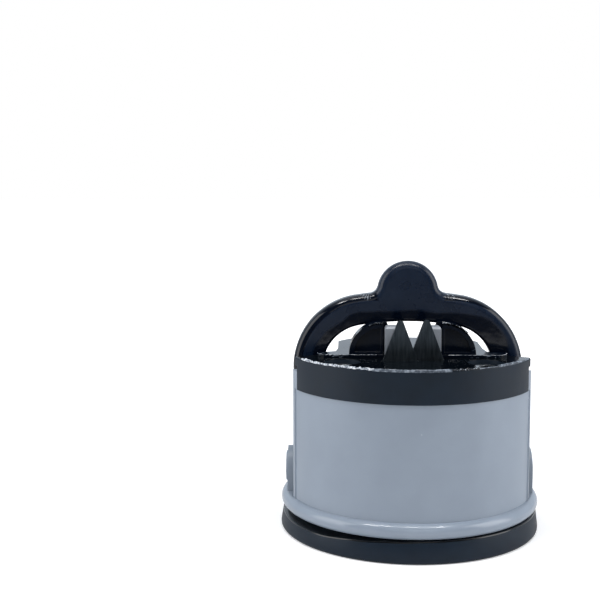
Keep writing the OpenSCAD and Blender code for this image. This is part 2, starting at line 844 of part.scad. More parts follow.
module lever() {
  color("#12151B") translate([-lever_shift, 0, 0]) difference() {
    union() {
      both() lever_side();
      // Crown between the corners
      translate([0, 0, crown_z]) rotate([90, 0, 0]) rotate([0, 0, 90 - crown_turn - crown_lap])
        rotate_extrude(angle = 2 * (crown_turn + crown_lap), $fn = 4 * $fn)
          band_section(crown_r - band_w, key_gap);
      facing(lever_back + lever_edge, lever_back + core_depth) both()
        translate([0, loop_z - band_w + core_wall / 2]) square([rib_t / 2, band_w - core_wall]);
      thumb_tab();
    }
    both() translate([0, 0, axle_z]) keyed_bar(hub_in - over, hub_out + over, axle_r + key_gap);
  }
}

module lever_axle() {
  color("#C3C6C9") translate([0, 0, axle_z]) difference() {
    bar_x(-axle_half, axle_half, axle_r);
    for (span = [[-hub_out - lever_shift, -hub_in - lever_shift], [-cam_w / 2, cam_w / 2],
                 [hub_in - lever_shift, hub_out - lever_shift]])
      translate([span[0], -axle_r, -axle_d]) cube([span[1] - span[0], axle_d, axle_d - axle_r + flat_depth]);
  }
}

module axle_cap() {
  color("#8791A0") translate([0, 0, axle_z]) {
    bar_x(-boss_x - cap_t, -boss_x, cap_r);
    bar_x(-boss_x - cap_lap, -axle_half - fit, axle_r);
  }
}

// One point of the cam's flank, where the height over the axle grows evenly with the turn
function flank(turn) = let (reach = cam_r + cam_lift * turn / lock_angle)
  [reach * sin(turn) + cam_slope * cos(turn), reach * cos(turn) - cam_slope * sin(turn)];

module lift_cam() {
  color("#D9DBDD") translate([0, 0, axle_z]) difference() {
    union() {
      bar_x(-cam_w / 2, cam_w / 2, cam_r - key_gap);
      translate([-cam_w / 2, 0, 0]) rotate([90, 0, 90]) linear_extrude(cam_w) mirror([1, 0])
        polygon(concat([[0, 0], [0, cam_r]], [for (turn = [0:cam_step:cam_end]) flank(turn)],
                       [[cam_core * sin(cam_close), cam_core * cos(cam_close)]]));
    }
    keyed_bar(-cam_w / 2 - over, cam_w / 2 + over, axle_r + key_gap);
  }
}

module lift_yoke() {
  color("#D2D5D8") difference() {
    translate([-yoke_t / 2, 0, 0]) rotate([90, 0, 90]) linear_extrude(yoke_t) difference() {
      rounded(-yoke_in - yoke_wall, disc_z, yoke_in + yoke_wall, yoke_top, fit, fit, yoke_wall, yoke_wall);
      translate([-yoke_in, disc_z + yoke_bar])
        square([2 * yoke_in, yoke_top - yoke_bridge - disc_z - yoke_bar]);
    }
    at_yoke_screws(disc_z) cylinder(h = 2 * yoke_screw_l, r = small_d / 2, center = true);
  }
}

module at_yoke_screws(z) {
  for (side = [-1, 1]) translate([0, side * yoke_screw_y, z]) children();
}

module yoke_screws() {
  color("#B9BCC0") at_yoke_screws(disc_under) mirror([0, 0, 1]) flat_screw(yoke_screw_l);
}

module foot_disc() {
  color("#C9CCCF") difference() {
    slab(disc_under, disc_z) circle(r = disc_r);
    at_yoke_screws(disc_under) mirror([0, 0, 1]) flat_screw_hole(yoke_screw_l);
  }
}

// Centre line of the springs, and the points of the wire round it
spring_h = spring_top - spring_z - 2 * wire_r;
ring_count = spring_turns * 360 / ring_step;
spring_points = [for (k = [0:ring_count]) for (s = [0:wire_sides - 1])
  let (turn = k * ring_step, side = s * 360 / wire_sides, out = spring_r + wire_r * cos(side))
  [out * cos(turn), out * sin(turn), wire_r + spring_h * k / ring_count + wire_r * sin(side)]];
spring_faces = concat(
  [[for (s = [0:wire_sides - 1]) s]],
  [[for (s = [wire_sides - 1:-1:0]) ring_count * wire_sides + s]],
  [for (k = [0:ring_count - 1]) for (s = [0:wire_sides - 1])
    let (a = k * wire_sides + s, b = k * wire_sides + (s + 1) % wire_sides) [a, a + wire_sides, b]],
  [for (k = [0:ring_count - 1]) for (s = [0:wire_sides - 1])
    let (a = k * wire_sides + s, b = k * wire_sides + (s + 1) % wire_sides)
      [b, a + wire_sides, b + wire_sides]]);
echo(spring_gap = spring_h / spring_turns - 2 * wire_r);

module return_springs() {
  color("#C7CACC") for (side = [-1, 1]) translate([side * spring_x, 0, spring_z])
    polyhedron(points = spring_points, faces = spring_faces, convexity = 6);
}

module suction_foot() {
  color("#2B2F36") rotate_extrude() union() {
    // Heavy ring that stands on the worktop
    difference() {
      polygon([[rim_in, 0], [foot_r, 0], [foot_r, foot_round], [foot_r - foot_draft, foot_h],
               [rim_in, foot_h]]);
      translate([foot_r - foot_round, -over]) square([foot_round + over, foot_round + over]);
    }
    translate([foot_r - foot_round, foot_round]) circle(r = foot_round, $fn = sketch_n);
    // Membrane that domes up to the disc
    polygon([[0, dome], [slope_in, dome], [rim_in, 0], [rim_in + over, 0], [rim_in + over, foot_h],
             [slope_out, foot_h - lip_t], [slope_in, disc_under], [0, disc_under]]);
    // Bead clamped round the base plate
    translate([neck_out - foot_neck, foot_h - over]) square([foot_neck - fit, skin_z - foot_h + over]);
    translate([lip_in, skin_z - lip_t]) square([lip_w + over, lip_t]);
    // Collar that holds the disc
    translate([disc_r, disc_under - over]) square([collar_t, disc_t + collar_h + over]);
    translate([disc_r - collar_lip, disc_z]) square([collar_lip + over, collar_h]);
  }
}

housing();
base_plate();
base_screws();
front_cover();
cover_screws();
guide();
guide_screws();
blade_holder();
left_blade();
right_blade();
clamp_screw();
clamp_nut();
lever();
lever_axle();
axle_cap();
lift_cam();
lift_yoke();
yoke_screws();
foot_disc();
return_springs();
suction_foot();
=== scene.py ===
import bmesh
import bpy
import math
import random
from mathutils import Matrix, Vector


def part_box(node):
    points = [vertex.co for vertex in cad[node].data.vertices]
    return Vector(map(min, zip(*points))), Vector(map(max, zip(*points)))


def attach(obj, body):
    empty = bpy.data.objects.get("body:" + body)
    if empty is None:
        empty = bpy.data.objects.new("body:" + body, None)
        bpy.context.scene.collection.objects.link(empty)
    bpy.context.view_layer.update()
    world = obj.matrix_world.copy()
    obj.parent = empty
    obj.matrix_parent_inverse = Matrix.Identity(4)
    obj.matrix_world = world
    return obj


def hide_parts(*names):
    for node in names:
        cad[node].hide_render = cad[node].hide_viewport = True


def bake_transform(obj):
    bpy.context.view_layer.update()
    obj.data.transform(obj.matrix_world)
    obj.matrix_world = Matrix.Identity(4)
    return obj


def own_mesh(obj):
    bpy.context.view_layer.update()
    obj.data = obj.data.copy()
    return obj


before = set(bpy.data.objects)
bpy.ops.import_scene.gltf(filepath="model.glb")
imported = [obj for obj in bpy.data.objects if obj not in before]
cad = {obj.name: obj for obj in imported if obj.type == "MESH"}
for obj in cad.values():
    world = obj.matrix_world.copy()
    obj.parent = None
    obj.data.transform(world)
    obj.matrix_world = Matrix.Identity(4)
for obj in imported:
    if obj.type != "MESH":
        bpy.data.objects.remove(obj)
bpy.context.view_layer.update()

scene = bpy.context.scene
mm = 0.001
discLow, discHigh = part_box("foot_disc")
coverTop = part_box("front_cover")[1][2]
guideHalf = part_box("guide")[1][0]
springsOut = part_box("return_springs")[1][0]
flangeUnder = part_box("housing")[0][2]
print("frame loaded:", len(cad), "pieces")


def linear(hexColour):  # sRGB hex to the linear colour that shaders take
    parts = [int(hexColour[i:i + 2], 16) / 255 for i in (1, 3, 5)]
    return [p / 12.92 if p <= 0.04045 else ((p + 0.055) / 1.055) ** 2.4 for p in parts] + [1.0]


def addNode(tree, kind, settings=None, inputs=None, stops=()):  # a shader node, set up and linked
    node = tree.nodes.new("ShaderNode" + kind)
    for name, value in (settings or {}).items():
        setattr(node, name, value)
    for name, value in (inputs or {}).items():
        if isinstance(value, bpy.types.Node):
            value = value.outputs[0]  # a whole node stands for its first output
        if isinstance(value, bpy.types.NodeSocket):
            tree.links.new(value, node.inputs[name])
        else:
            node.inputs[name].default_value = value
    if stops:
        ramp = node.color_ramp.elements
        while len(ramp) < len(stops):
            ramp.new(0.5)
        for element, (position, hexColour) in zip(ramp, stops):
            element.position = position
            element.color = linear(hexColour)
    return node


def emptyTree(owner):  # of a world or a material
    owner.use_nodes = True
    owner.node_tree.nodes.clear()
    return owner.node_tree


softStep = {"interpolation_type": "SMOOTHSTEP"}  # MapRange: 0 below, 1 above, soft in between
colourMix = {"data_type": "RGBA"}  # Mix: factor 0, colours 6 and 7, and its result is output 2

# Camera: where the front view of the photo was taken from, found by fitting circles of known size
view = {
    "place": (-15.29 * mm, -267.18 * mm, 85.69 * mm),
    "azimuth": 2.375, "elevation": 6.617, "roll": -0.137,  # degrees
    "focalPixels": 1118.78, "widthPixels": 600,  # focal length and frame width in pixels
    "sensor": 36, "clip": (0.01, 10),  # millimetres and metres
}


def makeCamera():
    data = bpy.data.cameras.new("camera")
    data.sensor_width = view["sensor"]
    data.lens = view["focalPixels"] * view["sensor"] / view["widthPixels"]
    data.clip_start, data.clip_end = view["clip"]
    camera = bpy.data.objects.new("camera", data)
    scene.collection.objects.link(camera)
    az, el, roll = (math.radians(view[k]) for k in ("azimuth", "elevation", "roll"))
    back = Vector((math.sin(az) * math.cos(el), -math.cos(az) * math.cos(el), math.sin(el)))
    right = Vector((math.cos(az), math.sin(az), 0))
    up = back.cross(right)
    right, up = (right * math.cos(roll) + up * math.sin(roll), up * math.cos(roll) - right * math.sin(roll))
    turn = Matrix((right, up, back)).transposed().to_4x4()
    camera.matrix_world = Matrix.Translation(view["place"]) @ turn
    scene.camera = camera


makeCamera()
print("camera placed")


# Light: a soft panel overhead, one at each side, a weak front fill and four small lamps for sparkle
tent = {
    "overhead": {"size": (500 * mm, 380 * mm), "place": (-30 * mm, -60 * mm, 520 * mm), "watts": 0.55},
    "left": {"size": (300 * mm, 420 * mm), "place": (-430 * mm, -120 * mm, 200 * mm), "watts": 1.1},
    "right": {"size": (300 * mm, 420 * mm), "place": (430 * mm, -100 * mm, 220 * mm), "watts": 1.3},
    "front": {"size": (420 * mm, 240 * mm), "place": (20 * mm, -560 * mm, 300 * mm), "watts": 0.25},
    "spotLeft": {"size": (55 * mm, 55 * mm), "place": (-110 * mm, -130 * mm, 560 * mm), "watts": 0.30},
    "spotRight": {"size": (55 * mm, 55 * mm), "place": (10 * mm, -130 * mm, 560 * mm), "watts": 0.30},
    "spotFarLeft": {"size": (75 * mm, 75 * mm), "place": (-215 * mm, -150 * mm, 520 * mm), "watts": 0.50},
    "spotFarRight": {"size": (75 * mm, 75 * mm), "place": (160 * mm, -150 * mm, 520 * mm), "watts": 0.50},
}
lampAim = Vector((0, 0, 30 * mm))
room = {
    "matt": 0.22, "glossy": 0.10,  # the room's light on matt surfaces and as seen in glossy ones
    "backdrop": 1.0, "from": -0.10, "to": 0.35,  # a reflected ray's way: -1 to the front, 1 to the backdrop
    "airColour": "#E2E6EC", "reflectedColour": "#DDE9F6",
}
white = (1, 1, 1, 1)


def makeLights():
    for name, lamp in tent.items():
        data = bpy.data.lights.new(name, "AREA")
        data.shape = "RECTANGLE"
        data.size, data.size_y = lamp["size"]
        data.energy = lamp["watts"]
        panel = bpy.data.objects.new(name, data)
        scene.collection.objects.link(panel)
        panel.location = lamp["place"]
        panel.rotation_euler = (lampAim - panel.location).to_track_quat("-Z", "Y").to_euler()


def makeWorld():  # white for the eye and in reflections of the backdrop, dimmer as light from the room
    world = bpy.data.worlds.new("tent")
    tree = emptyTree(world)
    ray = addNode(tree, "LightPath").outputs
    way = addNode(tree, "TexCoord").outputs["Generated"]
    toBack = addNode(tree, "SeparateXYZ", inputs={"Vector": way}).outputs["Y"]
    behind = addNode(tree, "MapRange",
                     inputs={"Value": toBack, "From Min": room["from"], "From Max": room["to"]})
    mirrored = addNode(tree, "Math", {"operation": "MULTIPLY"}, {0: ray["Is Glossy Ray"], 1: behind})
    seen = addNode(tree, "Math", {"operation": "MAXIMUM"},
                   {0: ray["Is Camera Ray"], 1: ray["Is Transmission Ray"]})
    asPaper = addNode(tree, "Math", {"operation": "MAXIMUM"}, {0: seen, 1: mirrored})
    level = addNode(tree, "Mix",
                    inputs={"Factor": ray["Is Glossy Ray"], "A": room["matt"], "B": room["glossy"]})
    air = addNode(tree, "Background", inputs={"Color": linear(room["airColour"]), "Strength": level})
    shade = addNode(tree, "Mix", colourMix,
                    {0: ray["Is Glossy Ray"], 6: white, 7: linear(room["reflectedColour"])}).outputs[2]
    paper = addNode(tree, "Background", inputs={"Color": shade, "Strength": room["backdrop"]})
    mix = addNode(tree, "MixShader", inputs={0: asPaper, 1: air, 2: paper})
    addNode(tree, "OutputWorld", inputs={"Surface": mix})
    scene.world = world


sweep = {"half": 3.0, "front": 330 * mm, "near": 60 * mm, "far": 330 * mm, "nearGlow": 0.30, "farGlow": 1.0,
         "colour": "#F4F5F7"}


def makeFloor():  # white paper: it keeps the shadow near the object and is pure white further out
    half, front = sweep["half"], -sweep["front"]
    mesh = bpy.data.meshes.new("floor")
    mesh.from_pydata([(-half, front, 0), (half, front, 0), (half, half, 0), (-half, half, 0)], [],
                     [(0, 1, 2, 3)])
    floor = bpy.data.objects.new("floor", mesh)
    scene.collection.objects.link(floor)
    material = bpy.data.materials.new("whitePaperSweep")
    tree = emptyTree(material)
    ray = addNode(tree, "LightPath").outputs
    where = addNode(tree, "TexCoord").outputs["Object"]
    reach = addNode(tree, "VectorMath", {"operation": "LENGTH"}, {0: where}).outputs["Value"]
    glowLevel = addNode(tree, "MapRange", softStep,
                        {"Value": reach, "From Min": sweep["near"], "From Max": sweep["far"],
                         "To Min": sweep["nearGlow"], "To Max": sweep["farGlow"]})
    paper = addNode(tree, "BsdfDiffuse", inputs={"Color": linear(sweep["colour"])})
    glow = addNode(tree, "Emission", inputs={"Color": white, "Strength": glowLevel})
    both = addNode(tree, "AddShader", inputs={0: paper, 1: glow})
    mix = addNode(tree, "MixShader", inputs={0: ray["Is Camera Ray"], 1: paper, 2: both})
    addNode(tree, "OutputMaterial", inputs={"Surface": mix})
    mesh.materials.append(material)


makeLights()
makeWorld()
makeFloor()
scene.view_settings.view_transform = "Standard"
print("light tent and floor made")


# Finishes. A pattern's scale is 1 / (its size in metres), because it is drawn in the CAD's own coordinates
softEdge = {"plastic": 0.18 * mm, "metal": 0.10 * mm, "vinyl": 0.25 * mm, "torn": 0.05 * mm}  # edge radii
typicalIor = {"plastic": 1.53, "vinyl": 1.5}
noiseLow, noiseHigh = 0.3, 0.7  # nearly all of a noise pattern lies between these


def startMaterial(name, kind):  # with its node tree, object coordinates and soft-edged normal
    material = bpy.data.materials.new(name)
    tree = emptyTree(material)
    where = addNode(tree, "TexCoord").outputs["Object"]
    edge = addNode(tree, "Bevel", {"samples": 6}, {"Radius": softEdge[kind]})
    return material, tree, where, edge


def endMaterial(tree, shaderInputs):
    shader = addNode(tree, "BsdfPrincipled", inputs=shaderInputs)
    addNode(tree, "OutputMaterial", inputs={"Surface": shader})


dust = {"spacing": 6.5 * mm, "radius": 0.13 * mm, "share": 0.45, "colour": "#C4CCD6"}


def dustMask(tree, where):  # a few lint specks, one to about two cells
    cells = addNode(tree, "TexVoronoi", inputs={"Vector": where, "Scale": 1 / dust["spacing"]})
    near = addNode(tree, "Math", {"operation": "LESS_THAN"},
                   {0: cells.outputs["Distance"], 1: dust["radius"] / dust["spacing"]})
    pick = addNode(tree, "SeparateXYZ", inputs={"Vector": cells.outputs["Color"]}).outputs["X"]
    kept = addNode(tree, "Math", {"operation": "LESS_THAN"}, {0: pick, 1: dust["share"]})
    return addNode(tree, "Math", {"operation": "MULTIPLY"}, {0: near, 1: kept})


glintsAndPaleStrokes = {  # pale strokes, on the lever painted glints at the tab's roots: where, how far they reach, how wide one is, and where the noise shows them
    # painted glints where the lever's tab meets its band
    "lever": {"places": ((-10.6 * mm, -5.4 * mm, 56.4 * mm), (9.2 * mm, -5.4 * mm, 56.8 * mm)),
              "reach": 1.7 * mm, "stroke": 0.22 * mm, "stretch": (1.0, 0.3, 0.3), "from": 0.56,
              "fade": 0.06, "colour": "#AEB8C4"},
    # pale strokes near the guide's ends
    "guide": {"places": ((17.5 * mm, -12.3 * mm, 43.4 * mm), (-18.5 * mm, -12.3 * mm, 43.4 * mm)),
              "reach": 4.5 * mm, "stroke": 0.30 * mm, "stretch": (0.25, 1.0, 1.0), "from": 0.57,
              "fade": 0.06, "colour": "#7E8895"},
}


def glintAndStrokeMask(tree, where, facts):  # strokes that fade out away from the named places
    nearest = 0.0
    for place in facts["places"]:
        gone = addNode(tree, "VectorMath", {"operation": "DISTANCE"}, {0: where, 1: place}).outputs["Value"]
        near = addNode(tree, "MapRange", inputs={"Value": gone, "From Min": 0.0, "From Max": facts["reach"],
                                                 "To Min": 1.0, "To Max": 0.0})
        nearest = addNode(tree, "Math", {"operation": "MAXIMUM"}, {0: nearest, 1: near})
    along = addNode(tree, "Mapping", inputs={"Vector": where, "Scale": facts["stretch"]})
    noise = addNode(tree, "TexNoise", inputs={"Vector": along, "Scale": 1 / facts["stroke"], "Detail": 2.0})
    stroke = addNode(tree, "MapRange", softStep,
                     {"Value": noise, "From Min": facts["from"], "From Max": facts["from"] + facts["fade"]})
    return addNode(tree, "Math", {"operation": "MULTIPLY"}, {0: stroke, 1: nearest})


# Plastics. Roughness is for where the mould was eroded, gloss for where it was polished. The grain is the
# eroded mould's pits, really about 0.1 mm across and drawn coarser so that they show, and on the guide the
# ripple of a polished mould. Cloud is the size of uneven gloss, wave the size of sink marks
# The cover's and the lever's last colour is painted shade: a darker colour where they are polished
plastic = {
    "housing": {"colours": ("#85909E", "#8B96A4"), "roughness": (0.36, 0.46), "gloss": 0.16,
                "specular": 0.5, "grain": 0.25 * mm, "depth": 0.008 * mm, "cloud": 9 * mm, "wave": 4 * mm,
                "waveDepth": 0.02 * mm},
    "inner": {"colours": ("#6F7B8A", "#778392"), "roughness": (0.45, 0.55), "gloss": 0.40,
              "specular": 0.5, "grain": 0.25 * mm, "depth": 0.010 * mm, "cloud": 9 * mm, "wave": 4 * mm,
              "waveDepth": 0.01 * mm},
    "cover": {"colours": ("#061522", "#091A29"), "roughness": (0.42, 0.50), "gloss": 0.09,
              "specular": 0.24, "grain": 0.20 * mm, "depth": 0.006 * mm, "cloud": 6 * mm, "wave": 1.6 * mm,
              "waveDepth": 0.12 * mm, "paintedShadeColour": "#03070C"},
    "lever": {"colours": ("#071528", "#0A1A2E"), "roughness": (0.24, 0.32), "gloss": 0.08,
              "specular": 0.32, "grain": 0.20 * mm, "depth": 0.003 * mm, "cloud": 6 * mm, "wave": 3.5 * mm,
              "waveDepth": 0.03 * mm, "paintedShadeColour": "#030916"},
    "guide": {"colours": ("#030A16", "#050D1A"), "roughness": (0.10, 0.16), "gloss": 0.06,
              "specular": 0.14, "grain": 0.50 * mm, "depth": 0.004 * mm, "cloud": 6 * mm, "wave": 2.2 * mm,
              "waveDepth": 0.05 * mm},
    "holder": {"colours": ("#868C95", "#949AA3"), "roughness": (0.34, 0.42), "gloss": 0.30,
               "specular": 0.5, "grain": 0.20 * mm, "depth": 0.006 * mm, "cloud": 4 * mm, "wave": 3 * mm,
               "waveDepth": 0.02 * mm},
    "white": {"colours": ("#C6CACE", "#D2D5D8"), "roughness": (0.40, 0.50), "gloss": 0.40,
              "specular": 0.5, "grain": 0.25 * mm, "depth": 0.006 * mm, "cloud": 5 * mm, "wave": 3 * mm,
              "waveDepth": 0.01 * mm},
}
relief = {"erodedWave": 0.05, "polishedWave": 1.0, "grain": 0.35}  # how strongly the bumps show


def mouldedPlastic(name, part, zone=None):  # injection moulded: even colour, faint grain, uneven gloss
    facts = plastic[part]
    material, tree, where, edge = startMaterial(name, "plastic")
    cloud = addNode(tree, "TexNoise", inputs={"Vector": where, "Scale": 1 / facts["cloud"], "Detail": 3.0})
    grain = addNode(tree, "TexNoise", inputs={"Vector": where, "Scale": 1 / facts["grain"], "Detail": 2.0})
    wave = addNode(tree, "TexNoise", inputs={"Vector": where, "Scale": 1 / facts["wave"], "Detail": 2.0})
    polishedAndShaded = zone(tree, where) if zone else 0.0
    dark, pale = facts["colours"]
    colour = addNode(tree, "ValToRGB", inputs={"Fac": cloud}, stops=((noiseLow, dark), (noiseHigh, pale)))
    # painted shade: a darker colour where the cover and the lever are polished
    if "paintedShadeColour" in facts:
        colour = addNode(tree, "Mix", colourMix,
                         {0: polishedAndShaded, 6: colour, 7: linear(facts["paintedShadeColour"])}).outputs[2]
    # painted glints on the lever's band at the tab's roots, pale strokes near the guide's ends
    if part in glintsAndPaleStrokes:
        glintAndStrokeShare = glintAndStrokeMask(tree, where, glintsAndPaleStrokes[part])
        colour = addNode(tree, "Mix", colourMix,
                         {0: glintAndStrokeShare, 6: colour, 7: linear(glintsAndPaleStrokes[part]["colour"])}).outputs[2]
    colour = addNode(tree, "Mix", colourMix,
                     {0: dustMask(tree, where), 6: colour, 7: linear(dust["colour"])}).outputs[2]
    low, high = facts["roughness"]
    satin = addNode(tree, "MapRange", inputs={"Value": cloud, "From Min": noiseLow, "From Max": noiseHigh,
                                              "To Min": low, "To Max": high})
    rough = addNode(tree, "Mix", inputs={"Factor": polishedAndShaded, "A": satin, "B": facts["gloss"]})
    sinkShare = addNode(tree, "Mix", inputs={"Factor": polishedAndShaded, "A": relief["erodedWave"],
                                             "B": relief["polishedWave"]})
    sink = addNode(tree, "Bump", inputs={"Height": wave, "Strength": sinkShare,
                                         "Distance": facts["waveDepth"], "Normal": edge})
    bump = addNode(tree, "Bump", inputs={"Height": grain, "Strength": relief["grain"],
                                         "Distance": facts["depth"], "Normal": sink})
    endMaterial(tree, {"Base Color": colour, "Roughness": rough, "IOR": typicalIor["plastic"],
                       "Specular IOR Level": facts["specular"], "Normal": bump})
    return material


topFace = {"from": coverTop - 0.20 * mm, "to": coverTop - 0.05 * mm}


def topZone(tree, where):  # the cover's top comes from a polished mould half, its skirt from an eroded one; the top is also painted darker there, as painted shade
    height = addNode(tree, "SeparateXYZ", inputs={"Vector": where}).outputs["Z"]
    return addNode(tree, "MapRange", softStep,
                   {"Value": height, "From Min": topFace["from"], "From Max": topFace["to"]})


flangeBead = {"lowFrom": 5.2 * mm, "lowTo": 6.2 * mm, "highFrom": 8.95 * mm, "highTo": 9.2 * mm}


def beadZone(tree, where):  # the flange's round edge is glossier than the walls
    height = addNode(tree, "SeparateXYZ", inputs={"Vector": where}).outputs["Z"]
    low = addNode(tree, "MapRange", softStep,
                  {"Value": height, "From Min": flangeBead["lowFrom"], "From Max": flangeBead["lowTo"]})
    high = addNode(tree, "MapRange", softStep,
                   {"Value": height, "From Min": flangeBead["highFrom"], "From Max": flangeBead["highTo"]})
    return addNode(tree, "Math", {"operation": "SUBTRACT", "use_clamp": True}, {0: low, 1: high})


loop = {
    "halfRun": 9.6 * mm, "centreHeight": 39.2 * mm, "inside": 10.4 * mm, "band": 7 * mm,
    "polishedShadedShare": 0.5, "polishedShadedSoft": 0.4 * mm, "waver": 3.2 * mm, "waverLength": 9 * mm,
    "beadShare": 0.80, "beadSoft": 0.3 * mm,
    "tabHeight": 57.4 * mm, "tabRadius": 7.6 * mm, "tabSoft": 0.8 * mm,
}


def leverZone(tree, where):  # polished and painted darker as shade: the loop's inner half and its round outer edge, but not on the tab
    axes = addNode(tree, "SeparateXYZ", inputs={"Vector": where}).outputs
    side = addNode(tree, "Math", {"operation": "ABSOLUTE"}, {0: axes["X"]})
    side = addNode(tree, "Math", {"operation": "SUBTRACT"}, {0: side, 1: loop["halfRun"]})
    side = addNode(tree, "Math", {"operation": "MAXIMUM"}, {0: side, 1: 0.0})
    rise = addNode(tree, "Math", {"operation": "SUBTRACT"}, {0: axes["Z"], 1: loop["centreHeight"]})
    rise = addNode(tree, "Math", {"operation": "MAXIMUM"}, {0: rise, 1: 0.0})
    out = addNode(tree, "CombineXYZ", inputs={"X": side, "Y": rise, "Z": 0.0})
    reach = addNode(tree, "VectorMath", {"operation": "LENGTH"}, {0: out}).outputs["Value"]
    noise = addNode(tree, "TexNoise",
                    inputs={"Vector": where, "Scale": 1 / loop["waverLength"], "Detail": 1.0})
    waver = addNode(tree, "Math", {"operation": "MULTIPLY_ADD"},
                    {0: noise, 1: loop["waver"], 2: -loop["waver"] / 2})
    wavy = addNode(tree, "Math", {"operation": "ADD"}, {0: reach, 1: waver})
    edgeAt = loop["inside"] + loop["polishedShadedShare"] * loop["band"]
    outside = addNode(tree, "MapRange", softStep, {"Value": wavy, "From Min": edgeAt - loop["polishedShadedSoft"],
                                                   "From Max": edgeAt + loop["polishedShadedSoft"]})
    inner = addNode(tree, "Math", {"operation": "SUBTRACT"}, {0: 1.0, 1: outside})
    tabAt = (0, 0, loop["tabHeight"])
    tabWay = addNode(tree, "VectorMath", {"operation": "SUBTRACT"}, {0: where, 1: tabAt})
    tabWay = addNode(tree, "VectorMath", {"operation": "MULTIPLY"}, {0: tabWay, 1: (1, 0, 1)})
    tabReach = addNode(tree, "VectorMath", {"operation": "LENGTH"}, {0: tabWay}).outputs["Value"]
    offTab = addNode(tree, "MapRange", softStep, {"Value": tabReach, "From Min": loop["tabRadius"],
                                                  "From Max": loop["tabRadius"] + loop["tabSoft"]})
    beadAt = loop["inside"] + loop["beadShare"] * loop["band"]
    onEdge = addNode(tree, "MapRange", softStep,
                     {"Value": reach, "From Min": beadAt, "From Max": beadAt + loop["beadSoft"]})
    bead = addNode(tree, "Math", {"operation": "MULTIPLY"}, {0: offTab, 1: onEdge})
    return addNode(tree, "Math", {"operation": "MAXIMUM"}, {0: inner, 1: bead})


# Metals. The streaks are the marks of the drawing die, the plating and the grinding wheel, which are really
# 0.02 to 0.1 mm wide: they are drawn coarser, so that they show
metal = {
    "zinc": {"colours": ("#C9CDD0", "#E2E5E6"), "roughness": (0.22, 0.36), "streak": 0.15 * mm},
    "steel": {"colours": ("#B4B8BB", "#CDD0D2"), "roughness": (0.26, 0.38), "streak": 0.12 * mm},
    "carbide": {"colours": ("#32393F", "#4B535A"), "roughness": (0.36, 0.48), "streak": 0.45 * mm},
}
metalRelief = {"strength": 0.25, "depth": 0.01 * mm}


def workedMetal(name, part, stretch):  # an even fleck on plated metal, streaks on drawn and ground metal
    facts = metal[part]
    material, tree, where, edge = startMaterial(name, "metal")
    along = addNode(tree, "Mapping", inputs={"Vector": where, "Scale": stretch})
    streak = addNode(tree, "TexNoise",
                     inputs={"Vector": along, "Scale": 1 / facts["streak"], "Detail": 3.0})
    dark, pale = facts["colours"]
    colour = addNode(tree, "ValToRGB", inputs={"Fac": streak}, stops=((noiseLow, dark), (noiseHigh, pale)))
    low, high = facts["roughness"]
    gloss = addNode(tree, "MapRange", inputs={"Value": streak, "From Min": noiseLow, "From Max": noiseHigh,
                                              "To Min": low, "To Max": high})
    bump = addNode(tree, "Bump", inputs={"Height": streak, "Strength": metalRelief["strength"],
                                         "Distance": metalRelief["depth"], "Normal": edge})
    endMaterial(tree, {"Base Color": colour, "Metallic": 1.0, "Roughness": gloss, "Normal": bump})
    return material


# The vinyl's grain is really about 0.1 mm too, and is drawn coarser so that it shows
vinyl = {
    "foot": {"colours": ("#061523", "#0A1B2A"), "roughness": 0.46, "specular": 0.24},
    # the rim's edge and top under the flange: painted near-black as the shade of the gap
    "rimTop": {"colours": ("#020408", "#04070C"), "roughness": 0.13, "specular": 0.5},
}
vinylSkin = {"cloud": 5 * mm, "grain": 0.18 * mm, "strength": 0.4, "depth": 0.012 * mm}


def mouldedVinyl(name, part):  # soft rubbery vinyl: dark, satin or polished, a little dusty
    facts = vinyl[part]
    material, tree, where, edge = startMaterial(name, "vinyl")
    cloud = addNode(tree, "TexNoise",
                    inputs={"Vector": where, "Scale": 1 / vinylSkin["cloud"], "Detail": 4.0})
    grain = addNode(tree, "TexNoise",
                    inputs={"Vector": where, "Scale": 1 / vinylSkin["grain"], "Detail": 2.0})
    dark, pale = facts["colours"]
    colour = addNode(tree, "ValToRGB", inputs={"Fac": cloud}, stops=((noiseLow, dark), (noiseHigh, pale)))
    colour = addNode(tree, "Mix", colourMix,
                     {0: dustMask(tree, where), 6: colour, 7: linear(dust["colour"])}).outputs[2]
    bump = addNode(tree, "Bump", inputs={"Height": grain, "Strength": vinylSkin["strength"],
                                         "Distance": vinylSkin["depth"], "Normal": edge})
    endMaterial(tree, {"Base Color": colour, "Roughness": facts["roughness"], "IOR": typicalIor["vinyl"],
                       "Specular IOR Level": facts["specular"], "Normal": bump})
    return material


torn = {
    # the pale and grey colours are partly painted highlight on the flash's edge, and the dark one's bright
    # flecks are painted glints
    "pale": {"stops": ((0.34, "#3A4350"), (0.46, "#98A2AF"), (0.58, "#E4E8ED")), "patch": 0.5 * mm,
             "roughness": 0.38},
    "grey": {"stops": ((0.36, "#303945"), (0.52, "#545E6B"), (0.66, "#8C96A2")), "patch": 0.8 * mm,
             "roughness": 0.42},
    "dark": {"stops": ((0.50, "#05090F"), (0.60, "#3A434E"), (0.68, "#C3CBD4")), "patch": 0.35 * mm,
             "roughness": 0.16},
}
tornRelief = {"strength": 0.8, "depth": 0.08 * mm}


def tornPlastic(name, part):  # flash where mould halves met: stretched ABS turns pale, and its pale colours also stand for painted highlight on the edge
    facts = torn[part]
    material, tree, where, edge = startMaterial(name, "torn")
    patch = addNode(tree, "TexNoise", inputs={"Vector": where, "Scale": 1 / facts["patch"], "Detail": 3.0})
    colour = addNode(tree, "ValToRGB", inputs={"Fac": patch}, stops=facts["stops"])
    bump = addNode(tree, "Bump", inputs={"Height": patch, "Strength": tornRelief["strength"],
                                         "Distance": tornRelief["depth"], "Normal": edge})
    endMaterial(tree, {"Base Color": colour, "Roughness": facts["roughness"], "IOR": typicalIor["plastic"],
                       "Normal": bump})
    return material


